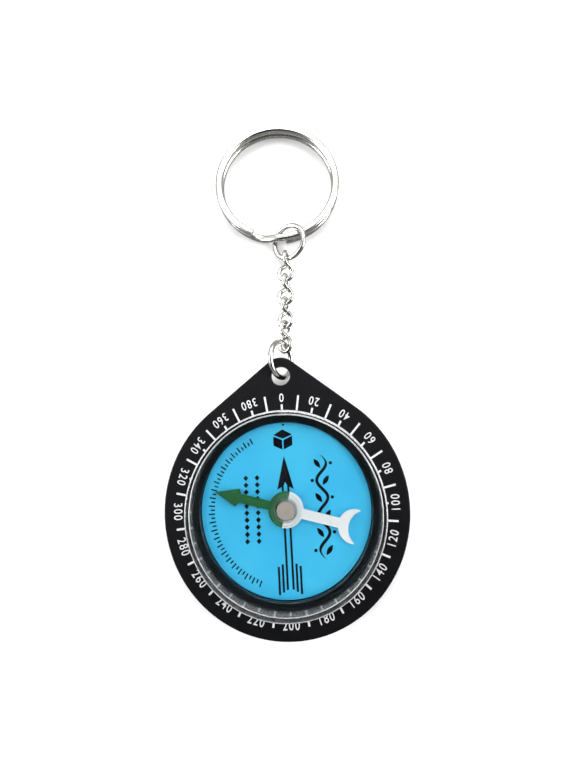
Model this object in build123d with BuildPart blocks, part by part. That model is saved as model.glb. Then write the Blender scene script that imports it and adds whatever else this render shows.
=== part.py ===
from build123d import *
import os
from math import asin, cos, degrees, hypot, radians, sin, tan

# A pocket compass on a key-ring chain, lying on its back. Millimetres and degrees.
# The origin is the centre of the flat back. +Y points to the key-ring tab, +Z out of the dial.

# Housing
body_radius = 21.65
body_height = 5.5
floor_thickness = 1.2
drum_inset = 0.6  # how far the round drum stands back under the face plate
drum_draft = 3.0
face_width = 4.55  # printed band between the recess and the rim
face_edge_radius = 0.3
back_edge_radius = 0.8

# Key-ring tab, the tip of the teardrop
tab_thickness = 2.2
tab_hole_diameter = 3.5
tab_hole_gap = 0.5  # between the drum and the hole
tab_hole_chamfer = 0.2
tab_web = 1.65  # material round the hole, at the tip

# Clear capsule: a cup upside down, glued on a ledge in the recess
lens_rise = 4.0
lens_depth = 1.5  # of its wall below the face
lens_wall = 0.6
window_thickness = 0.9
lens_clearance = 0.05
glue_gap = 0.02
lens_edge_radius = 0.4
lens_inner_fillet = 0.3  # between the window and the side wall

# Dial and the moulded base that carries it, with a raised rim round the dial
ledge_width = 0.7
base_clearance = 0.1
base_wall = 1.2
base_rim_width = 1.4
base_rim_height = 0.9  # above the dial
base_edge_radius = 0.2
dial_clearance = 0.1
dial_thickness = 0.3
boss_radius = 2.0

# Pivot pin and the needle's bearing
pin_diameter = 1.0
pin_point_angle = 40.0
socket_angle = 70.0
pivot_clearance = 0.05
assembly_clearance = 0.02
bearing_radius = 1.52
bearing_roof = 0.3
nipple_radius = 0.35  # of the small dome that the pressed socket raises
nipple_height = 0.12

# Clear hub of the needle
hub_gap = 0.3  # between the dial and the hub
window_gap = 1.0  # between the hub and the window
hub_height = 1.7
hub_radius = 1.95
hub_flange_radius = 2.65
hub_flange_height = 0.28
hub_edge_radius = 0.12

# Needle blade: arrow on one side, crescent on the other
needle_heading = 164.5  # of the arrow, anticlockwise from +X
needle_rim_gap = 2.15  # between the arrow's tip and the base's rim
blade_lift = 0.3  # of the blade above the hub's foot
blade_thickness = 0.25
blade_ring_radius = 3.05
arrow_length = 4.05
arrow_width = 3.08
arrow_back = 0.5
shaft_width = 1.5
stem_width = 1.64
tail_shortfall = 0.27  # how much shorter the crescent's side is
tail_width = 5.64
tail_depth = 3.25
tail_thickness = 1.77
tail_tip_width = 0.15

# Jump rings: both alike, wide enough for the two coils of the split ring
jump_ring_wire = 1.0
jump_ring_play = 2.58
jump_ring_slit = 0.12

# Curb links: two round ends a quarter turn apart, joined by two twisted strands
link_count = 4
link_length = 6.65
link_wire = 0.85
link_end_radius = 1.3  # of the wire's middle
link_slit = 0.1
link_gap = 0.15
hook_gap = 0.25

# Split ring: two turns of flattened wire, with a short jog from the lower coil to the upper one
split_ring_diameter = 25.4
split_wire_width = 1.5
split_wire_height = 1.2
split_wire_rounding = 0.55
coil_gap = 0.42
jog_start = 245.0
jog_end = 274.0
coil_end_gap = 2.0

# How the chain lies: heading from +Y towards +X, pitch upwards, roll that lifts the +X side
ring_seat_left = 0.3  # of the lower ring's wire from the middle of the tab's hole, as are the next two
ring_seat_back = 0.1
ring_seat_rise = 0.5
lower_ring_lay = (9.0, -15.0, -57.0)
upper_ring_lay = (14.0, 6.0, 30.0)
chain_heading = 2.8
link_rolls = (38.0, 24.0, 16.0, 10.0)  # from the lower ring up
hook_angle = 11.0  # place of the lowest link on the lower ring
upper_ring_lift = 0.9  # of its centre above the middle of the two coils
split_ring_offset = 1.3  # of the split ring's wire from the upper ring's centre
split_ring_hang = 280.5  # place of the upper ring on the split ring

# Sizes that follow from those above
recess_radius = body_radius - face_width
ledge_radius = recess_radius - ledge_width
ledge_height = body_height - lens_depth
lens_radius = recess_radius - lens_clearance
lens_inner_radius = lens_radius - lens_wall
lens_bottom = ledge_height + glue_gap
lens_top = body_height + lens_rise
window_bottom = lens_top - window_thickness
hub_top = window_bottom - window_gap
hub_bottom = hub_top - hub_height
dial_top = hub_bottom - hub_gap
dial_bottom = dial_top - dial_thickness
base_radius = ledge_radius - base_clearance
base_top = dial_top + base_rim_height
dial_seat_radius = base_radius - base_rim_width
dial_radius = dial_seat_radius - dial_clearance
blade_bottom = hub_bottom + blade_lift
flange_bottom = blade_bottom + blade_thickness + glue_gap
flange_top = flange_bottom + hub_flange_height
pin_radius = pin_diameter / 2
pin_hole_radius = pin_radius + assembly_clearance
socket_top = hub_top - bearing_roof
pin_top = socket_top - pivot_clearance
drum_radius = body_radius - drum_inset
tab_bottom = body_height - tab_thickness
drum_foot_radius = drum_radius - tab_bottom * tan(radians(drum_draft))
tab_hole_radius = tab_hole_diameter / 2
tab_hole_distance = drum_radius + tab_hole_gap + tab_hole_radius
tab_tip_radius = tab_hole_radius + tab_web
tab_tip = tab_hole_distance + tab_tip_radius
tab_edge_angle = degrees(asin((body_radius - tab_tip_radius) / tab_hole_distance))
tab_apex = body_radius / sin(radians(tab_edge_angle))
coil_step = split_wire_height + coil_gap
coil_stack = coil_step + split_wire_height
split_ring_radius = (split_ring_diameter - split_wire_width) / 2
jump_ring_radius = (hypot(coil_stack, split_wire_width) + jump_ring_play + jump_ring_wire) / 2


def lay_plane(heading, pitch, roll):
    """Plane along a piece of the chain: Y runs forward, X to its side and Z out of its flat."""
    turn = radians(heading)
    rise = radians(pitch)
    tilt = radians(roll)
    forward = Vector(sin(turn) * cos(rise), cos(turn) * cos(rise), sin(rise))
    level = Vector(cos(turn), -sin(turn), 0)
    side = level * cos(tilt) + level.cross(forward) * sin(tilt)
    return Plane((0, 0, 0), x_dir=side, z_dir=side.cross(forward))


def placed(plane, origin):
    """The same directions at another place."""
    return Plane(origin, x_dir=plane.x_dir, z_dir=plane.z_dir)


def hook_distance(forward, wire, other_wire):
    """Distance along the chain between a jump ring's wire and the link's wire that hooks round it."""
    across = wire.cross(other_wire).normalized()
    return ((jump_ring_wire + link_wire) / 2 + hook_gap) / abs(forward.dot(across))


def jump_ring(plane):
    """Round wire ring in the plane, with its slit on the +X side."""
    section = Plane(plane.origin, x_dir=plane.x_dir, z_dir=-plane.y_dir)
    slit_angle = degrees(jump_ring_slit / jump_ring_radius)
    with BuildPart() as ring:
        with BuildSketch(section):
            with Locations((jump_ring_radius, 0)):
                Circle(jump_ring_wire / 2)
        revolve(axis=Axis(plane.origin, plane.z_dir), revolution_arc=360 - slit_angle)
    return ring.part


def curb_link(plane):
    """Twisted link along the plane's Y: its lower end lies in XY, its upper end in YZ."""
    end = link_length / 2 - link_wire / 2 - link_end_radius
    tip = end + link_end_radius
    radius = link_end_radius
    half = link_end_radius / 2
    with BuildPart() as link:
        with BuildLine(plane) as path:
            lower_end = ThreePointArc((radius, -end, 0), (0, -tip, 0), (-radius, -end, 0))
            rise = TangentArc(lower_end @ 1, (-half, 0, -half), tangent=lower_end % 1)
            rise_end = TangentArc(rise @ 1, (0, end, -radius), tangent=rise % 1)
            upper_end = ThreePointArc(rise_end @ 1, (0, tip, 0), (0, end, radius))
            back = TangentArc(upper_end @ 1, (half, 0, half), tangent=upper_end % 1)
            close = TangentArc(back @ 1, lower_end @ 0, tangent=back % 1, mode=Mode.PRIVATE)
            add(close.trim(link_slit / close.length, 1))
        start = path.wire()
        with BuildSketch(Plane(start @ 0, z_dir=start % 0)):
            Circle(link_wire / 2)
        sweep(path=start)
    return link.part


def save(piece, name):
    """Labels a finished piece and writes it under its name."""
    piece.label = name
    export_step(piece, f"parts/{name}.step")


os.makedirs("parts", exist_ok=True)

# Teardrop housing: face plate with the tab, round drum under it, stepped recess for the capsule
with BuildPart() as body:
    with BuildSketch(Plane.XY.offset(body_height)) as outline:
        with BuildLine():
            rim = CenterArc((0, 0), body_radius, 180 - tab_edge_angle, 180 + 2 * tab_edge_angle)
            Line(rim @ 1, (0, tab_apex))
            Line((0, tab_apex), rim @ 0)
        make_face()
        fillet(outline.vertices().sort_by(Axis.Y)[-1], radius=tab_tip_radius)
    extrude(amount=-tab_thickness)
    fillet(body.faces().sort_by(Axis.Z)[-1].outer_wire().edges(), radius=face_edge_radius)
    with BuildSketch(Plane.XZ) as drum_section:
        with BuildLine():
            Polyline((0, 0), (drum_foot_radius, 0), (drum_radius, tab_bottom), (0, tab_bottom), close=True)
        make_face()
        fillet(drum_section.vertices().sort_by_distance((drum_foot_radius, 0))[0], radius=back_edge_radius)
    revolve(axis=Axis.Z)
    with BuildSketch(Plane.XY.offset(floor_thickness)):
        Circle(ledge_radius)
    extrude(amount=body_height - floor_thickness, mode=Mode.SUBTRACT)
    with BuildSketch(Plane.XY.offset(ledge_height)):
        Circle(recess_radius)
    extrude(amount=lens_depth, mode=Mode.SUBTRACT)
    with Locations((0, tab_hole_distance, body_height)):
        Hole(tab_hole_radius, depth=tab_thickness)
    round_edges = body.edges().filter_by(GeomType.CIRCLE)
    hole_rims = round_edges.filter_by(lambda edge: edge.radius == tab_hole_radius)
    chamfer(hole_rims, length=tab_hole_chamfer)
save(body.part, "body")

# Clear cup over the dial
with BuildPart() as capsule_lens:
    with BuildSketch(Plane.XZ) as lens_section:
        with BuildLine():
            Polyline(
                (0, window_bottom),
                (lens_inner_radius, window_bottom),
                (lens_inner_radius, lens_bottom),
                (lens_radius, lens_bottom),
                (lens_radius, lens_top),
                (0, lens_top),
                close=True,
            )
        make_face()
        top_edge = lens_section.vertices().group_by(Axis.Y)[-1].sort_by(Axis.X)[-1]
        fillet(top_edge, radius=lens_edge_radius)
        inner_corner = lens_section.vertices().sort_by_distance((lens_inner_radius, window_bottom))[0]
        fillet(inner_corner, radius=lens_inner_fillet)
    revolve(axis=Axis.Z)
save(capsule_lens.part, "capsule_lens")

# Moulded base: hollow from below, with a rim round the dial and a boss for the pin
with BuildPart() as dial_base:
    hollow_top = dial_bottom - base_wall
    with BuildSketch(Plane.XZ) as base_section:
        with BuildLine():
            Polyline(
                (pin_hole_radius, floor_thickness),
                (boss_radius, floor_thickness),
                (boss_radius, hollow_top),
                (base_radius - base_wall, hollow_top),
                (base_radius - base_wall, floor_thickness),
                (base_radius, floor_thickness),
                (base_radius, base_top),
                (dial_seat_radius, base_top),
                (dial_seat_radius, dial_bottom),
                (pin_hole_radius, dial_bottom),
                close=True,
            )
        make_face()
        fillet(base_section.vertices().group_by(Axis.Y)[-1], radius=base_edge_radius)
    revolve(axis=Axis.Z)
save(dial_base.part, "dial_base")

# Thin printed disc with a hole for the pin
with BuildPart() as dial_card:
    with BuildSketch(Plane.XY.offset(dial_bottom)):
        Circle(dial_radius)
        Circle(pin_hole_radius, mode=Mode.SUBTRACT)
    extrude(amount=dial_thickness)
save(dial_card.part, "dial_card")

# Steel pin through the boss, with a conical point
with BuildPart() as pivot_pin:
    point_bottom = pin_top - pin_radius / tan(radians(pin_point_angle / 2))
    with BuildSketch(Plane.XZ):
        with BuildLine():
            Polyline(
                (0, floor_thickness),
                (pin_radius, floor_thickness),
                (pin_radius, point_bottom),
                (0, pin_top),
                close=True,
            )
        make_face()
    revolve(axis=Axis.Z)
save(pivot_pin.part, "pivot_pin")

# Needle blade, cut from thin sheet under the hub's flange
with BuildPart() as needle_blade:
    arrow_tip = dial_seat_radius - needle_rim_gap
    barb = arrow_tip - arrow_length
    tail_tip = arrow_tip - tail_shortfall
    tail_back = tail_tip - tail_depth
    tail_corner = tail_width / 2 - tail_tip_width
    heading = Vector(1, 0, 0).rotate(Axis.Z, needle_heading)
    with BuildSketch(Plane((0, 0, blade_bottom), x_dir=heading, z_dir=(0, 0, 1))):
        Circle(blade_ring_radius)
        with BuildLine():
            Polyline(
                (0, shaft_width / 2),
                (barb - arrow_back, shaft_width / 2),
                (barb, arrow_width / 2),
                (arrow_tip, 0),
                (barb, -arrow_width / 2),
                (barb - arrow_back, -shaft_width / 2),
                (0, -shaft_width / 2),
                close=True,
            )
        make_face()
        with BuildLine():
            Polyline(
                (0, stem_width / 2),
                (-tail_back - tail_thickness / 2, stem_width / 2),
                (-tail_back - tail_thickness / 2, -stem_width / 2),
                (0, -stem_width / 2),
                close=True,
            )
        make_face()
        with BuildLine():
            hub_side = ThreePointArc(
                (-tail_tip, tail_width / 2), (-tail_back, 0), (-tail_tip, -tail_width / 2)
            )
            far_side = ThreePointArc(
                (-tail_tip, -tail_corner), (-tail_back - tail_thickness, 0), (-tail_tip, tail_corner)
            )
            Line(hub_side @ 1, far_side @ 0)
            Line(far_side @ 1, hub_side @ 0)
        make_face()
        Circle(hub_radius + assembly_clearance, mode=Mode.SUBTRACT)
    extrude(amount=blade_thickness)
save(needle_blade.part, "needle_blade")

# Clear hub: a round boss through the blade, with a flange over it
with BuildPart() as needle_hub:
    bearing_hole_radius = bearing_radius + assembly_clearance
    with BuildSketch(Plane.XZ) as hub_section:
        with BuildLine():
            Polyline(
                (bearing_hole_radius, hub_bottom),
                (hub_radius, hub_bottom),
                (hub_radius, flange_bottom),
                (hub_flange_radius, flange_bottom),
                (hub_flange_radius, flange_top),
                (hub_radius, flange_top),
                (hub_radius, hub_top),
                (bearing_hole_radius, hub_top),
                close=True,
            )
        make_face()
        fillet(hub_section.vertices().sort_by_distance((hub_radius, hub_top))[0], radius=hub_edge_radius)
    revolve(axis=Axis.Z)
save(needle_hub.part, "needle_hub")

# Metal bearing with a conical socket that rides on the pin's point
with BuildPart() as needle_bearing:
    socket_mouth = (socket_top - hub_bottom) * tan(radians(socket_angle / 2))
    with BuildSketch(Plane.XZ):
        with BuildLine():
            Polyline(
                (0, socket_top),
                (socket_mouth, hub_bottom),
                (bearing_radius, hub_bottom),
                (bearing_radius, hub_top),
                (nipple_radius, hub_top),
            )
            TangentArc((0, hub_top + nipple_height), (nipple_radius, hub_top), tangent=(1, 0))
            Line((0, hub_top + nipple_height), (0, socket_top))
        make_face()
    revolve(axis=Axis.Z)
save(needle_bearing.part, "needle_bearing")

# Lower jump ring, from the middle of the tab's hole outwards
tab_hole_middle = Vector(0, tab_hole_distance, tab_bottom + tab_thickness / 2)
ring_seat = tab_hole_middle + Vector(-ring_seat_left, -ring_seat_back, ring_seat_rise)
lower_lay = lay_plane(*lower_ring_lay)
lower_plane = placed(lower_lay, ring_seat + lower_lay.y_dir * jump_ring_radius)
lower_jump_ring = jump_ring(lower_plane)
save(lower_jump_ring, "lower_jump_ring")

# Chain line: from the lower ring's far side down to the upper ring, which holds the split ring on the table
hook = radians(hook_angle)
hook_point = lower_plane.from_local_coords((jump_ring_radius * sin(hook), jump_ring_radius * cos(hook), 0))
hook_wire = lower_plane.x_dir * cos(hook) - lower_plane.y_dir * sin(hook)
upper_lay = lay_plane(*upper_ring_lay)
link_step = link_length - 2 * link_wire - link_gap
chain_length = (link_count - 1) * link_step + link_length - link_wire
upper_ring_near = coil_stack / 2 + upper_ring_lift - jump_ring_radius * upper_lay.y_dir.Z
chain_span = chain_length - jump_ring_wire - link_wire - 2 * hook_gap
chain_pitch = degrees(asin((upper_ring_near - hook_point.Z) / chain_span))

# Links, numbered down from the upper ring
link_lays = [lay_plane(chain_heading, chain_pitch, roll) for roll in link_rolls]
forward = link_lays[0].y_dir
first_tip = hook_point - forward * hook_distance(forward, hook_wire, link_lays[0].x_dir)
link_planes = []
for i, lay in enumerate(link_lays):
    centre = first_tip + forward * ((link_length - link_wire) / 2 + i * link_step)
    link_planes.append(placed(lay, centre))
    save(curb_link(link_planes[-1]), f"chain_link_{link_count - i}")

# Upper jump ring round the last link's upper end
last_tip = first_tip + forward * chain_length
upper_near = last_tip - forward * hook_distance(forward, upper_lay.x_dir, link_lays[-1].z_dir)
upper_plane = placed(upper_lay, upper_near + upper_lay.y_dir * jump_ring_radius)
upper_jump_ring = jump_ring(upper_plane)
save(upper_jump_ring, "upper_jump_ring")

# Split ring flat on the table, hung in the upper ring
hang_point = upper_plane.origin + upper_plane.y_dir * split_ring_offset
hang = Vector(split_ring_radius, 0, 0).rotate(Axis.Z, split_ring_hang)
split_centre = Vector(hang_point.X - hang.X, hang_point.Y - hang.Y, split_wire_height / 2)
split_axis = Axis(split_centre, (0, 0, 1))
coil_turn = 360 - (jog_end - jog_start) - coil_end_gap
coil_start = jog_end + coil_end_gap
jog_radius = hypot(split_ring_radius, coil_step / 2)


def coil_point(angle, level, radius=split_ring_radius):
    """Place on the wire's middle, from the angle round the ring and the height above the lower coil."""
    return split_centre + Vector(radius, 0, level).rotate(Axis.Z, angle)


def coil_section(angle, level):
    """Plane across the wire: X points out of the ring, Y up."""
    outwards = Vector(1, 0, 0).rotate(Axis.Z, angle)
    return Plane(coil_point(angle, level), x_dir=outwards, z_dir=outwards.cross(Vector(0, 0, 1)))


def wire_outline():
    """Section of the flattened wire."""
    RectangleRounded(split_wire_width, split_wire_height, split_wire_rounding)


with BuildPart() as split_ring:
    with BuildSketch(coil_section(coil_start, 0)):
        wire_outline()
    revolve(axis=split_axis, revolution_arc=coil_turn)
    with BuildSketch(coil_section(jog_end, coil_step)):
        wire_outline()
    revolve(axis=split_axis, revolution_arc=coil_turn)
    with BuildLine() as jog:
        along_start = Vector(0, 1, 0).rotate(Axis.Z, jog_start)
        jog_middle = coil_point((jog_start + jog_end) / 2, coil_step / 2, jog_radius)
        first_bend = TangentArc(coil_point(jog_start, 0), jog_middle, tangent=along_start)
        TangentArc(jog_middle, coil_point(jog_end, coil_step), tangent=first_bend % 1)
    upright = jog.wire().moved(Location((0, 0, split_ring_diameter)))
    with BuildSketch(coil_section(jog_start, 0)):
        wire_outline()
    sweep(path=jog.wire(), binormal=upright)
save(split_ring.part, "split_ring")

# Least gap of the wire to itself, measured on points of its middle at least half a turn apart
samples = 180
jog_samples = 20
turn_angles = [coil_turn * i / samples for i in range(samples + 1)]
wire_points = [coil_point(coil_start + angle, 0) for angle in turn_angles]
wire_points += [jog.wire() @ (i / jog_samples) for i in range(1, jog_samples)]
wire_points += [coil_point(jog_end + angle, coil_step) for angle in turn_angles]
self_gaps = []
for i, point in enumerate(wire_points):
    self_gaps += [(point - other).length - split_wire_height for other in wire_points[i + samples // 2 :]]
wire_length = 2 * radians(coil_turn) * split_ring_radius + jog.wire().length
print(f"split ring: least self gap {min(self_gaps):.3f} mm, wire length {wire_length:.1f} mm")
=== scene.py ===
import math

import bpy
from mathutils import Matrix, Vector


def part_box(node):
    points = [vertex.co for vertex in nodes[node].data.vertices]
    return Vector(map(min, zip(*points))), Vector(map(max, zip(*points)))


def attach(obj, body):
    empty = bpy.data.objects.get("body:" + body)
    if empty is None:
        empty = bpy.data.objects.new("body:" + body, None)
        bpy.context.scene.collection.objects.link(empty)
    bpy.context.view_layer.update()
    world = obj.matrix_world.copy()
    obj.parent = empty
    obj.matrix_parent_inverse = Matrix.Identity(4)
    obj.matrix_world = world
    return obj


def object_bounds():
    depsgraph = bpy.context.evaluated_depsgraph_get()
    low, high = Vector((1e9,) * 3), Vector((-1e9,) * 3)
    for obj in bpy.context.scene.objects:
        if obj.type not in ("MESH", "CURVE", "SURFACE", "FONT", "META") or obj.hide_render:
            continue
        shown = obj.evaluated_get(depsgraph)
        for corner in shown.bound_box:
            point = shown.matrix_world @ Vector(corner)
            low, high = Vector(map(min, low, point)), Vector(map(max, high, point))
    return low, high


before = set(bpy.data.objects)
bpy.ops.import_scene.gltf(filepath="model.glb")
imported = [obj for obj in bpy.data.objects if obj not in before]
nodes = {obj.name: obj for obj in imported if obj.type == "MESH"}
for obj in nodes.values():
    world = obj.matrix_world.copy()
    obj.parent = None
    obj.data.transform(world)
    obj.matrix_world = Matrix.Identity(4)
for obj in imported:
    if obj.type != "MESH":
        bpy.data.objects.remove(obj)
cad_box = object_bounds()
scene = bpy.context.scene

# Lengths are millimetres times MM, angles are degrees.
MM = 0.001

# Camera of the photograph
IMAGE_HEIGHT = 768
FOCAL_PIXELS = 420
PRINCIPAL_ROW = 347
SENSOR = 36.0  # millimetres
NEAR_CLIP = 1 * MM
FAR_CLIP = 50.0
EYE = Vector((3.81, 16.955, 82.56)) * MM
AIM = Vector((1.64, 28.555, 5.50)) * MM
CAMERA_ROLL = -2.67

# Printed scale round the capsule: 400 units to the turn, clockwise from the tab
SCALE_UNITS = 400
NUMERAL_STEP = 20
TICK_STEP = 10
LONG_TICK_RADIUS = 19.64 * MM
SHORT_TICK_RADIUS = 17.90 * MM
SCALE_SHIFT = Vector((0.0, 0.16)) * MM  # of the printed ring from the dial's centre
TICK_GAP = 0.06 * MM  # between a tick and the capsule's wall
TICK_WIDTH = 0.34 * MM
NUMERAL_RADIUS = 19.86 * MM
NUMERAL_HEIGHT = 1.58 * MM
NUMERAL_WIDTH_SHARE = 0.80  # of the font's own width
NUMERAL_WEIGHT = 0.003  # added to each side of a stroke, as a share of the font's size
NUMERAL_SPACING = 1.22  # times the font's own spacing
CAP_HEIGHT_SHARE = 0.73  # of the font's size
INK_THICKNESS = 0.015 * MM

# Direction arrow on the dial, along its own axis
ARROW_CENTRE = Vector((0.09, 0.0)) * MM
ARROW_TILT = 0.57
ARROW_TIP = 9.0 * MM
ARROW_BARB = 3.25 * MM
ARROW_HALF_WIDTH = 1.46 * MM
BARB_NOTCH = 3.66 * MM
SLIT_TOP = 4.55 * MM
SLIT_SHOULDER = 3.85 * MM
SHAFT_OFFSET = 0.49 * MM
SHAFT_WIDTH = 0.36 * MM
SHAFT_END = -13.2 * MM
FEATHER_COUNT = 2  # on each side
FEATHER_STEP = 0.69 * MM
FEATHER_WIDTH = 0.37 * MM
FEATHER_START = -8.7 * MM
FEATHER_SLANT = 0.38 * MM

# Cube sign and ornaments on the dial
CUBE_CENTRE = Vector((-0.07, 11.87)) * MM
CUBE_HALF_WIDTH = 1.68 * MM
CUBE_TOP = 1.74 * MM
CUBE_SHOULDER = 0.68 * MM
CUBE_FOOT = -1.05 * MM
CUBE_BOTTOM = -1.80 * MM
CUBE_SEAM = 0.24 * MM
INDEX_DOT = Vector((0.09, 14.42)) * MM
INDEX_DOT_RADIUS = 0.20 * MM
VINE_X = 6.5 * MM
VINE_TOP = 8.9 * MM
VINE_LENGTH = 17.4 * MM
VINE_WAVES = 3
VINE_SWING = 0.90 * MM
VINE_WIDTH = 0.52 * MM
VINE_STEPS = 96
VINE_TIP_SHARE = 0.1  # of the stem's width
VINE_TAPER = 8  # share of the width gained per stem length, from each tip
LEAF_LENGTH = 2.0 * MM
LEAF_WIDTH = 0.80 * MM
LEAF_OFFSET = 0.70 * MM
LEAF_TILT = 35
LEAF_STEPS = 12
BERRY_OFFSET = 1.68 * MM
BERRY_RADIUS = 0.29 * MM
BEAD_COLUMNS = (-4.9 * MM, -6.9 * MM)
BEAD_TOP = 5.4 * MM
BEAD_STEP = 1.18 * MM
BEAD_COUNT = 10
BEAD_HALF = Vector((0.44, 0.50)) * MM
COMB_START = 202
COMB_END = 334
COMB_STEP = 3
COMB_INNER_RADIUS = 12.5 * MM
COMB_SHORT_RADIUS = 13.2 * MM
COMB_LONG_RADIUS = 13.6 * MM
COMB_WIDTH = 0.24 * MM

# Needle
NEEDLE_HEADING = 164.5  # of the green arrow, anticlockwise from +X
BLADE_COLOUR_EDGE = 0.03 * MM  # half the width of the change from green to white
HUB_COLOUR_EDGE = 0.1 * MM
HUB_FOOT_LOW = 0.1 * MM  # heights over the hub's underside where the blade's colours fade out
HUB_FOOT_HIGH = 0.2 * MM

# Studio round the part, with its lengths in metres
FLOOR_REACH = 2.0
FLOOR_SEGMENTS = 96
FLOOR_GAP = 0.02 * MM  # under the part
BEND_RADIUS = 1.0
BEND_STEPS = 9
WALL_HEIGHT = 3.0
ROOM_LIGHT = (  # share of the way from straight down to straight up, brightness
    (0.0, 0.75),
    (0.40, 0.42),
    (0.54, 0.40),
    (0.66, 1.05),
    (1.0, 1.15),
)
FOOT_SIDE_START = -0.15  # Y of the directions between which the dim side fades in
FOOT_SIDE_END = -0.55
FOOT_SIDE_LIGHT = 0.26
FLAG_DIRECTION = (0.0, -0.30, 0.954)
FLAG_OUTER_ANGLE = 38  # from the flag's direction, where its edge fades out
FLAG_INNER_ANGLE = 22
FLAG_LIGHT = 0.03
LIGHT_TARGET = Vector((0, 0.03, 0))
SOFTBOXES = {  # place, width, depth and watts
    "back": (Vector((0.02, 0.42, 0.40)), 0.50, 0.30, 2.8),
    "left": (Vector((-0.50, 0.06, 0.28)), 0.36, 0.30, 3.2),
    "right": (Vector((0.50, 0.02, 0.28)), 0.36, 0.30, 3.2),
}


# Small helpers

def turned(angle):
    """Direction on the dial, clockwise from the tab."""
    return Vector((math.sin(math.radians(angle)), math.cos(math.radians(angle))))


def material(name, **values):
    """Principled material; values go to the shader's own sockets, with _ for a space."""
    mat = bpy.data.materials.new(name)
    mat.use_nodes = True
    shader = mat.node_tree.nodes["Principled BSDF"]
    for socket, value in values.items():
        shader.inputs[socket.replace("_", " ")].default_value = value
    return mat, mat.node_tree, shader


def add_node(tree, kind, inputs, **settings):
    """New node; inputs go by name or place, and one that is a socket is linked."""
    node = tree.nodes.new(kind)
    for key, value in settings.items():
        setattr(node, key, value)
    for key, value in inputs.items():
        if isinstance(value, bpy.types.NodeSocket):
            tree.links.new(value, node.inputs[key])
        else:
            node.inputs[key].default_value = value
    return node


def coordinate(tree, kind):
    """Texture coordinate of the given kind."""
    return add_node(tree, "ShaderNodeTexCoord", {}).outputs[kind]


def object_noise(tree, size, detail=3.0, roughness=0.55):
    """Noise whose lumps are about that size, fixed to the object."""
    place = coordinate(tree, "Object")
    inputs = {"Vector": place, "Scale": 1 / size, "Detail": detail, "Roughness": roughness}
    return add_node(tree, "ShaderNodeTexNoise", inputs).outputs["Fac"]


def ramp(tree, factor, *stops):
    """Colour ramp through (position, colour) stops."""
    node = add_node(tree, "ShaderNodeValToRGB", {"Fac": factor})
    elements = node.color_ramp.elements
    while len(elements) < len(stops):
        elements.new(0.5)
    for element, (position, colour) in zip(elements, stops):
        element.position = position
        element.color = (*colour, 1.0)
    return node.outputs["Color"]


def eased(tree, value, low, high):
    """0 at low and before it, 1 at high and past it, with a smooth step between."""
    inputs = {"Value": value, "From Min": low, "From Max": high}
    node = add_node(tree, "ShaderNodeMapRange", inputs, interpolation_type="SMOOTHSTEP")
    return node.outputs["Result"]


def mixed(tree, factor, first, second):
    """First colour where the factor is 0, second where it is 1."""
    inputs = {"Factor": factor, "A": first, "B": second}
    return add_node(tree, "ShaderNodeMix", inputs, data_type="RGBA").outputs["Result"]


def along(tree, vector, direction):
    """How far a vector reaches in a fixed direction."""
    inputs = {0: vector, 1: direction}
    return add_node(tree, "ShaderNodeVectorMath", inputs, operation="DOT_PRODUCT").outputs["Value"]


def split_axes(tree, vector):
    """The X, Y and Z of a vector."""
    return add_node(tree, "ShaderNodeSeparateXYZ", {"Vector": vector}).outputs


def levelness(tree):
    """1 on level faces and 0 on upright ones."""
    facing = split_axes(tree, coordinate(tree, "Normal"))
    return add_node(tree, "ShaderNodeMath", {0: facing["Z"]}, operation="ABSOLUTE").outputs["Value"]


def grey(value):
    """Colour with equal channels."""
    return (value, value, value)


def shade(colour, factor):
    """Colour times a factor."""
    return tuple(channel * factor for channel in colour)


def add_bump(tree, shader, height, depth, strength=1.0):
    """Bump of the given real depth on the shader's normal."""
    bump = add_node(tree, "ShaderNodeBump", {"Strength": strength, "Distance": depth, "Height": height})
    tree.links.new(bump.outputs["Normal"], shader.inputs["Normal"])


# Materials

def black_plastic():
    """Finely textured black moulding."""
    mat, tree, shader = material("black_moulding", Specular_IOR_Level=0.14)
    cloud = object_noise(tree, size=2.5 * MM, detail=4.0)
    dark, pale = (0.0016, 0.0017, 0.0026), (0.0030, 0.0032, 0.0046)
    tree.links.new(ramp(tree, cloud, (0.3, dark), (0.7, pale)), shader.inputs["Base Color"])
    grain = object_noise(tree, size=0.07 * MM, detail=2.0)
    tree.links.new(ramp(tree, grain, (0.3, grey(0.38)), (0.7, grey(0.52))), shader.inputs["Roughness"])
    add_bump(tree, shader, grain, depth=0.012 * MM)
    return mat


def white_ink():
    """White pad print, a little uneven."""
    mat, tree, shader = material("white_ink", Roughness=0.5)
    cloud = object_noise(tree, size=0.25 * MM, detail=4.0)
    thin, full = grey(0.50), (0.66, 0.67, 0.68)
    tree.links.new(ramp(tree, cloud, (0.32, thin), (0.55, full)), shader.inputs["Base Color"])
    add_bump(tree, shader, cloud, depth=0.004 * MM)
    return mat


def black_ink():
    """Dark print on the dial."""
    mat, tree, shader = material("black_ink", Roughness=0.5, Specular_IOR_Level=0.12)
    cloud = object_noise(tree, size=0.4 * MM, detail=4.0)
    dark, pale = (0.001, 0.002, 0.005), (0.004, 0.005, 0.011)
    tree.links.new(ramp(tree, cloud, (0.35, dark), (0.75, pale)), shader.inputs["Base Color"])
    add_bump(tree, shader, cloud, depth=0.003 * MM)
    return mat


def dial_blue():
    """Bright blue printed card with a satin varnish."""
    mat, tree, shader = material("dial_blue", Roughness=0.45, Specular_IOR_Level=0.25)
    cloud = object_noise(tree, size=9 * MM)
    dark, pale = (0.048, 0.560, 0.940), (0.068, 0.625, 0.980)
    tree.links.new(ramp(tree, cloud, (0.35, dark), (0.65, pale)), shader.inputs["Base Color"])
    fibre = object_noise(tree, size=0.16 * MM)
    add_bump(tree, shader, fibre, depth=0.004 * MM)
    return mat


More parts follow.
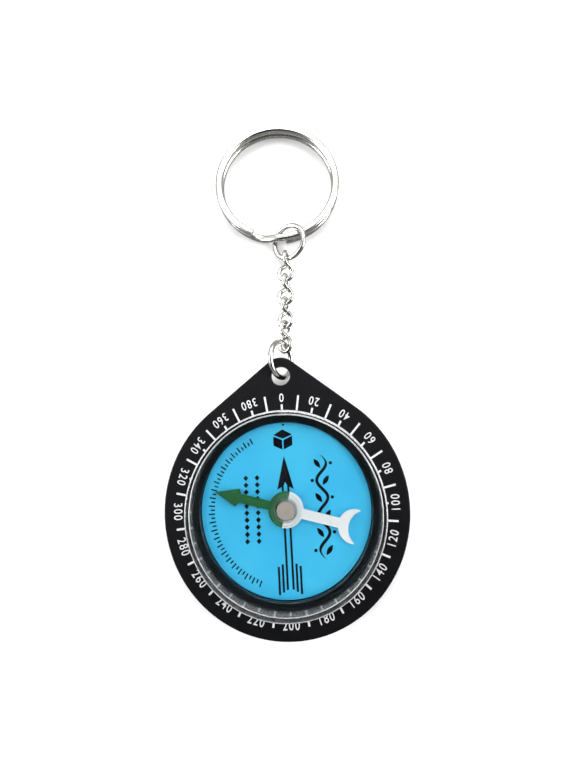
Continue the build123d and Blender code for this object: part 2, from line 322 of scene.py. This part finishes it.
def clear_capsule():
    """Clear moulding: polished window; its upright wall milky white and its rounded edge more so, scuff
    streaks mixed with a painted highlight of the side lights.
    """
    mat, tree, shader = material("clear_capsule", Base_Color=(0.985, 0.995, 1.0, 1.0), IOR=1.49)
    level = levelness(tree)
    window = eased(tree, level, low=0.90, high=0.995)
    tree.links.new(ramp(tree, window, (0.0, grey(0.10)), (1.0, grey(0.012))), shader.inputs["Roughness"])
    # Milky white on the upright wall and more on the rounded edge: a painted highlight, broken into
    # scuff streaks by this noise.
    scuffs_and_sheen = object_noise(tree, size=0.5 * MM, detail=4.0, roughness=0.6)
    wall = ramp(tree, scuffs_and_sheen, (0.35, grey(0.91)), (0.65, grey(0.78)))
    edge = ramp(tree, scuffs_and_sheen, (0.35, grey(0.70)), (0.65, grey(0.50)))
    # The painted highlight is stronger on the rounded edge than on the upright wall.
    rounded_edge_sheen = eased(tree, level, low=0.10, high=0.35)
    side = mixed(tree, rounded_edge_sheen, wall, edge)
    clear = (1.0, 1.0, 1.0, 1.0)
    tree.links.new(mixed(tree, window, side, clear), shader.inputs["Transmission Weight"])
    swell = object_noise(tree, size=5 * MM, detail=2.0)
    add_bump(tree, shader, swell, depth=0.010 * MM, strength=0.5)
    return mat


def needle_colours(tree, soft_edge):
    """Green on the arrow's half of the needle, white on the crescent's half."""
    heading = math.radians(NEEDLE_HEADING)
    reach = along(tree, coordinate(tree, "Object"), (math.cos(heading), math.sin(heading), 0.0))
    cloud = object_noise(tree, size=1.5 * MM, detail=4.0)
    dark_green, pale_green = (0.005, 0.105, 0.024), (0.009, 0.150, 0.034)
    dull_white, bright_white = (0.88, 0.91, 0.90), (0.94, 0.96, 0.95)
    green = ramp(tree, cloud, (0.3, dark_green), (0.7, pale_green))
    white = ramp(tree, cloud, (0.3, dull_white), (0.7, bright_white))
    return mixed(tree, eased(tree, reach, -soft_edge, soft_edge), white, green)


def hub_film():
    """Thin clear plastic: nearly invisible on level faces above the blade, with pale upright walls as
    painted reflections of its edges, and the blade's colours in its foot.
    """
    mat, tree, shader = material("clear_hub", Roughness=0.15)
    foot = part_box("needle_hub")[0].z
    height = split_axes(tree, coordinate(tree, "Object"))["Z"]
    above = eased(tree, height, foot + HUB_FOOT_LOW, foot + HUB_FOOT_HIGH)
    # Upright walls are made more opaque and pale: a painted reflection standing in for the light rings
    # on the clear hub's edges.
    flat = eased(tree, levelness(tree), low=0.3, high=0.95)
    film_and_painted_rims = ramp(tree, flat, (0.0, grey(0.40)), (1.0, grey(0.025)))
    foot_cover = (0.9, 0.9, 0.9, 1.0)
    tree.links.new(mixed(tree, above, foot_cover, film_and_painted_rims), shader.inputs["Alpha"])
    clear = (0.86, 0.90, 0.88, 1.0)
    colour = mixed(tree, above, needle_colours(tree, HUB_COLOUR_EDGE), clear)
    tree.links.new(colour, shader.inputs["Base Color"])
    swell = object_noise(tree, size=0.8 * MM)
    add_bump(tree, shader, swell, depth=0.004 * MM)
    return mat


def insert_plastic():
    """Black moulded insert under the dial."""
    mat, tree, shader = material("insert_black", Roughness=0.18, Specular_IOR_Level=0.4)
    cloud = object_noise(tree, size=0.6 * MM)
    dark, pale = (0.0018, 0.0056, 0.0080), (0.0030, 0.0086, 0.0120)
    tree.links.new(ramp(tree, cloud, (0.3, dark), (0.7, pale)), shader.inputs["Base Color"])
    add_bump(tree, shader, cloud, depth=0.004 * MM)
    return mat


def metal(name, colour, roughness, mark_size, spread=0.06, metallic=1.0):
    """Plain metal whose gloss varies with fine handling marks."""
    mat, tree, shader = material(name, Metallic=metallic)
    cloud = object_noise(tree, size=1.2 * MM, detail=4.0)
    dull = shade(colour, 0.93)
    tree.links.new(ramp(tree, cloud, (0.3, dull), (0.7, colour)), shader.inputs["Base Color"])
    marks = object_noise(tree, mark_size, detail=5.0, roughness=0.7)
    polished, marked = grey(roughness - spread / 2), grey(roughness + spread)
    tree.links.new(ramp(tree, marks, (0.35, polished), (0.70, marked)), shader.inputs["Roughness"])
    add_bump(tree, shader, marks, depth=0.003 * MM, strength=0.6)
    return mat


def needle_paint():
    """Two-coloured enamel on the blade."""
    mat, tree, shader = material("needle_paint", Roughness=0.42)
    tree.links.new(needle_colours(tree, BLADE_COLOUR_EDGE), shader.inputs["Base Color"])
    peel = object_noise(tree, size=0.12 * MM, detail=2.0)
    add_bump(tree, shader, peel, depth=0.004 * MM)
    return mat


def floor_paper():
    """Plain white sweep."""
    mat, tree, shader = material("white_paper", Roughness=0.9, Specular_IOR_Level=0.2)
    cloud = object_noise(tree, size=30 * MM)
    tree.links.new(ramp(tree, cloud, (0.3, grey(0.905)), (0.7, grey(0.92))), shader.inputs["Base Color"])
    return mat


# Printed pieces

def ride_compass(mesh, name, mat):
    """Turns a finished mesh into a printed piece of the compass."""
    piece = bpy.data.objects.new(name, mesh)
    scene.collection.objects.link(piece)
    mesh.materials.clear()
    mesh.materials.append(mat)
    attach(piece, "compass")


def filled_mesh(data):
    """Mesh of a filled curve or text."""
    source = bpy.data.objects.new("source", data)
    scene.collection.objects.link(source)
    bpy.context.view_layer.update()
    depsgraph = bpy.context.evaluated_depsgraph_get()
    mesh = bpy.data.meshes.new_from_object(source.evaluated_get(depsgraph))
    bpy.data.objects.remove(source)
    return mesh


def print_plate(name, outlines, height, mat):
    """Thin flat print with the given outlines on a level face."""
    curve = bpy.data.curves.new(name, "CURVE")
    curve.dimensions = "2D"
    curve.fill_mode = "BOTH"
    curve.extrude = INK_THICKNESS / 2
    for outline in outlines:
        spline = curve.splines.new("POLY")
        spline.points.add(len(outline) - 1)
        spline.use_cyclic_u = True
        for point, (x, y) in zip(spline.points, outline):
            point.co = (x, y, 0, 1)
    mesh = filled_mesh(curve)
    mesh.transform(Matrix.Translation((0, 0, height + INK_THICKNESS / 2)))
    ride_compass(mesh, name, mat)


def bar(start, end, width):
    """Four corners of a straight stroke."""
    side = (end - start).orthogonal().normalized() * width / 2
    return [start + side, end + side, end - side, start - side]


def circle(centre, radius, count=32):
    """Round outline."""
    return [centre + turned(360 * i / count) * radius for i in range(count)]


def leaf(centre, tilt):
    """Pointed leaf, tilted clockwise from upright."""
    edge = []
    for i in range(LEAF_STEPS + 1):
        x = LEAF_WIDTH / 2 * math.sin(math.pi * i / LEAF_STEPS)
        edge.append((x, LEAF_LENGTH * (i / LEAF_STEPS - 0.5)))
    edge += [(-x, y) for x, y in reversed(edge[1:-1])]
    turn = Matrix.Rotation(math.radians(-tilt), 2)
    return [centre + turn @ Vector(point) for point in edge]


def diamond(centre, half):
    """Upright rhombus of the given half width and half height."""
    x, y = half
    return [centre + Vector(step) for step in ((0, y), (x, 0), (0, -y), (-x, 0))]


def numeral_mesh(text):
    """Digits with their foot on the X axis, centred on the Y axis."""
    font = bpy.data.curves.new("numeral", "FONT")
    font.body = text
    font.size = NUMERAL_HEIGHT / CAP_HEIGHT_SHARE
    font.align_x = "CENTER"
    font.space_character = NUMERAL_SPACING
    font.offset = NUMERAL_WEIGHT * font.size
    font.extrude = INK_THICKNESS / 2
    return filled_mesh(font)


def scale_print(mat):
    """Ticks and numerals on the face, the numerals' tops towards the centre."""
    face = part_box("body")[1].z
    tick_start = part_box("capsule_lens")[1].x + TICK_GAP
    ticks = []
    for unit in range(0, SCALE_UNITS, TICK_STEP):
        out = turned(unit * 360 / SCALE_UNITS)
        tick_end = SHORT_TICK_RADIUS if unit % NUMERAL_STEP == 0 else LONG_TICK_RADIUS
        ticks.append(bar(out * tick_start, out * tick_end + SCALE_SHIFT, TICK_WIDTH))
    print_plate("scale_ticks", ticks, face, mat)
    squeeze = Matrix.Diagonal((NUMERAL_WIDTH_SHARE, 1, 1, 1))
    for unit in range(0, SCALE_UNITS, NUMERAL_STEP):
        angle = unit * 360 / SCALE_UNITS
        place = turned(angle) * NUMERAL_RADIUS + SCALE_SHIFT
        lift = Matrix.Translation((place.x, place.y, face + INK_THICKNESS / 2))
        turn = Matrix.Rotation(math.radians(180 - angle), 4, "Z")
        mesh = numeral_mesh(str(unit))
        mesh.transform(lift @ turn @ squeeze)
        ride_compass(mesh, f"scale_numeral_{unit}", mat)


def arrow_outlines():
    """Double-shafted arrow with a notched head and slanted feathers."""
    inner = SHAFT_OFFSET - SHAFT_WIDTH / 2
    outer = SHAFT_OFFSET + SHAFT_WIDTH / 2
    right = [
        (ARROW_HALF_WIDTH, ARROW_BARB),
        (outer, BARB_NOTCH),
        (outer, SHAFT_END),
        (inner, SHAFT_END),
        (inner, SLIT_SHOULDER),
    ]
    left = [(-x, y) for x, y in reversed(right)]
    outlines = [[(0, ARROW_TIP), *right, (0, SLIT_TOP), *left]]
    for side in (-1, 1):
        for feather in range(1, FEATHER_COUNT + 1):
            x = side * (SHAFT_OFFSET + feather * FEATHER_STEP)
            start = Vector((x, FEATHER_START - feather * FEATHER_SLANT))
            end = Vector((x, SHAFT_END - feather * FEATHER_SLANT))
            outlines.append(bar(start, end, FEATHER_WIDTH))
    tilt = Matrix.Rotation(math.radians(ARROW_TILT), 2)
    return [[ARROW_CENTRE + tilt @ Vector(point) for point in outline] for outline in outlines]


def cube_outlines():
    """Top and two sides of a cube seen corner on, parted by light seams."""
    half = CUBE_SEAM / 2
    top = [
        (0, CUBE_TOP),
        (CUBE_HALF_WIDTH, CUBE_SHOULDER + half),
        (0, half),
        (-CUBE_HALF_WIDTH, CUBE_SHOULDER + half),
    ]
    right = [
        (half, -half),
        (CUBE_HALF_WIDTH, CUBE_SHOULDER - half),
        (CUBE_HALF_WIDTH, CUBE_FOOT),
        (half, CUBE_BOTTOM),
    ]
    left = [(-x, y) for x, y in right]
    return [[CUBE_CENTRE + Vector(point) for point in face] for face in (top, right, left)]


def vine_outlines():
    """Upright wavy stem with a leaf in each bend and a berry outside it."""
    right_edge, left_edge = [], []
    for i in range(VINE_STEPS + 1):
        share = i / VINE_STEPS
        phase = 2 * math.pi * VINE_WAVES * share
        point = Vector((VINE_X + VINE_SWING * math.sin(phase), VINE_TOP - VINE_LENGTH * share))
        slope = Vector((VINE_SWING * 2 * math.pi * VINE_WAVES * math.cos(phase), -VINE_LENGTH))
        taper = min(1, VINE_TIP_SHARE + VINE_TAPER * share, VINE_TIP_SHARE + VINE_TAPER * (1 - share))
        side = slope.orthogonal().normalized() * VINE_WIDTH / 2 * taper
        right_edge.append(point + side)
        left_edge.append(point - side)
    outlines = [right_edge + left_edge[::-1]]
    for bend in range(2 * VINE_WAVES):
        side = 1 - 2 * (bend % 2)
        y = VINE_TOP - VINE_LENGTH * (bend + 0.5) / (2 * VINE_WAVES)
        outlines.append(leaf(Vector((VINE_X - side * LEAF_OFFSET, y)), -side * LEAF_TILT))
        outlines.append(circle(Vector((VINE_X + side * BERRY_OFFSET, y)), BERRY_RADIUS))
    return outlines


def bead_outlines():
    """Two upright rows of small lozenges."""
    heights = [BEAD_TOP - i * BEAD_STEP for i in range(BEAD_COUNT)]
    return [diamond(Vector((x, y)), BEAD_HALF) for x in BEAD_COLUMNS for y in heights]


def comb_outlines():
    """Curved row of fine ticks along the dial's edge."""
    outlines = []
    for i, angle in enumerate(range(COMB_START, COMB_END + 1, COMB_STEP)):
        out = turned(angle)
        outer = COMB_SHORT_RADIUS if i % 2 else COMB_LONG_RADIUS
        outlines.append(bar(out * COMB_INNER_RADIUS, out * outer, COMB_WIDTH))
    return outlines


def dial_print(mat):
    """Dark print on the dial card."""
    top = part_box("dial_card")[1].z
    plates = {
        "dial_arrow": arrow_outlines(),
        "dial_cube": [*cube_outlines(), circle(INDEX_DOT, INDEX_DOT_RADIUS)],
        "dial_vine": vine_outlines(),
        "dial_beads": bead_outlines(),
        "dial_comb": comb_outlines(),
    }
    for name, outlines in plates.items():
        print_plate(name, outlines, top, mat)


# Stage

def add_floor(mat):
    """Plain pale floor that curves up into a wall far round the part."""
    profile = []
    for step in range(BEND_STEPS + 1):
        angle = math.radians(90 / BEND_STEPS * step)
        radius = FLOOR_REACH + BEND_RADIUS * math.sin(angle)
        profile.append((radius, BEND_RADIUS * (1 - math.cos(angle))))
    profile.append((FLOOR_REACH + BEND_RADIUS, WALL_HEIGHT))
    count = FLOOR_SEGMENTS
    around = [turned(360 * i / count) for i in range(count)]
    vertices = [(*(out * radius), z) for radius, z in profile for out in around]
    faces = [list(reversed(range(count)))]
    for ring in range(len(profile) - 1):
        for i in range(count):
            low = ring * count + i
            low_next = ring * count + (i + 1) % count
            faces.append([low, low_next, low_next + count, low + count])
    mesh = bpy.data.meshes.new("floor")
    mesh.from_pydata(vertices, [], faces)
    mesh.shade_smooth()
    mesh.materials.append(mat)
    floor = bpy.data.objects.new("floor", mesh)
    floor.location.z = cad_box[0].z - FLOOR_GAP
    floor.visible_glossy = False
    scene.collection.objects.link(floor)


def add_softbox(name, place, width, depth, power):
    """Rectangular studio light that faces the part."""
    light = bpy.data.lights.new(name, "AREA")
    light.shape = "RECTANGLE"
    light.size = width
    light.size_y = depth
    light.energy = power
    lamp = bpy.data.objects.new(name, light)
    lamp.location = place
    lamp.rotation_euler = (LIGHT_TARGET - place).to_track_quat("-Z", "Y").to_euler()
    lamp.visible_camera = False
    scene.collection.objects.link(lamp)


def add_world():
    """White room with a dimmer horizon, a dim side at the dial's foot and a dark flag overhead."""
    world = bpy.data.worlds.new("studio")
    world.use_nodes = True
    tree = world.node_tree
    direction = coordinate(tree, "Generated")
    axes = split_axes(tree, direction)
    inputs = {"Value": axes["Z"], "From Min": -1.0, "From Max": 1.0}
    height = add_node(tree, "ShaderNodeMapRange", inputs).outputs["Result"]
    room = ramp(tree, height, *((share, grey(light)) for share, light in ROOM_LIGHT))
    foot_side = eased(tree, axes["Y"], FOOT_SIDE_START, FOOT_SIDE_END)
    sides = mixed(tree, foot_side, room, (*grey(FOOT_SIDE_LIGHT), 1.0))
    flag_outer = math.cos(math.radians(FLAG_OUTER_ANGLE))
    flag_inner = math.cos(math.radians(FLAG_INNER_ANGLE))
    flag = eased(tree, along(tree, direction, FLAG_DIRECTION), flag_outer, flag_inner)
    sky = mixed(tree, flag, sides, (*grey(FLAG_LIGHT), 1.0))
    tree.links.new(sky, tree.nodes["Background"].inputs["Color"])
    scene.world = world


def add_camera():
    """Camera at the photograph's viewpoint."""
    data = bpy.data.cameras.new("camera")
    data.sensor_width = SENSOR
    data.lens = FOCAL_PIXELS / IMAGE_HEIGHT * SENSOR
    data.shift_y = (PRINCIPAL_ROW - IMAGE_HEIGHT / 2) / IMAGE_HEIGHT
    data.clip_start = NEAR_CLIP
    data.clip_end = FAR_CLIP
    camera = bpy.data.objects.new("camera", data)
    forward = (AIM - EYE).normalized()
    right = forward.cross(Vector((0, 1, 0))).normalized()
    up = right.cross(forward)
    level = Matrix((right, up, -forward)).transposed().to_4x4()
    roll = Matrix.Rotation(math.radians(CAMERA_ROLL), 4, "Z")
    camera.matrix_world = Matrix.Translation(EYE) @ level @ roll
    scene.collection.objects.link(camera)
    scene.camera = camera


# Finishes of the CAD nodes
nickel = metal("bright_nickel", (0.64, 0.63, 0.605), roughness=0.15, mark_size=0.25 * MM)
pin_steel = metal("pin_steel", (0.60, 0.60, 0.60), roughness=0.25, mark_size=0.2 * MM)
bearing_metal = metal(
    "bearing_metal", (0.52, 0.46, 0.40), roughness=0.50, mark_size=0.12 * MM, spread=0.12, metallic=0.35
)
finishes = {
    "body": black_plastic(),
    "capsule_lens": clear_capsule(),
    "dial_base": insert_plastic(),
    "dial_card": dial_blue(),
    "pivot_pin": pin_steel,
    "needle_blade": needle_paint(),
    "needle_hub": hub_film(),
    "needle_bearing": bearing_metal,
}
for name, node in nodes.items():
    node.material_slots[0].material = finishes.get(name, nickel)

scale_print(white_ink())
dial_print(black_ink())

add_floor(floor_paper())
add_world()
for name, softbox in SOFTBOXES.items():
    add_softbox(name, *softbox)
add_camera()
scene.view_settings.view_transform = "Standard"
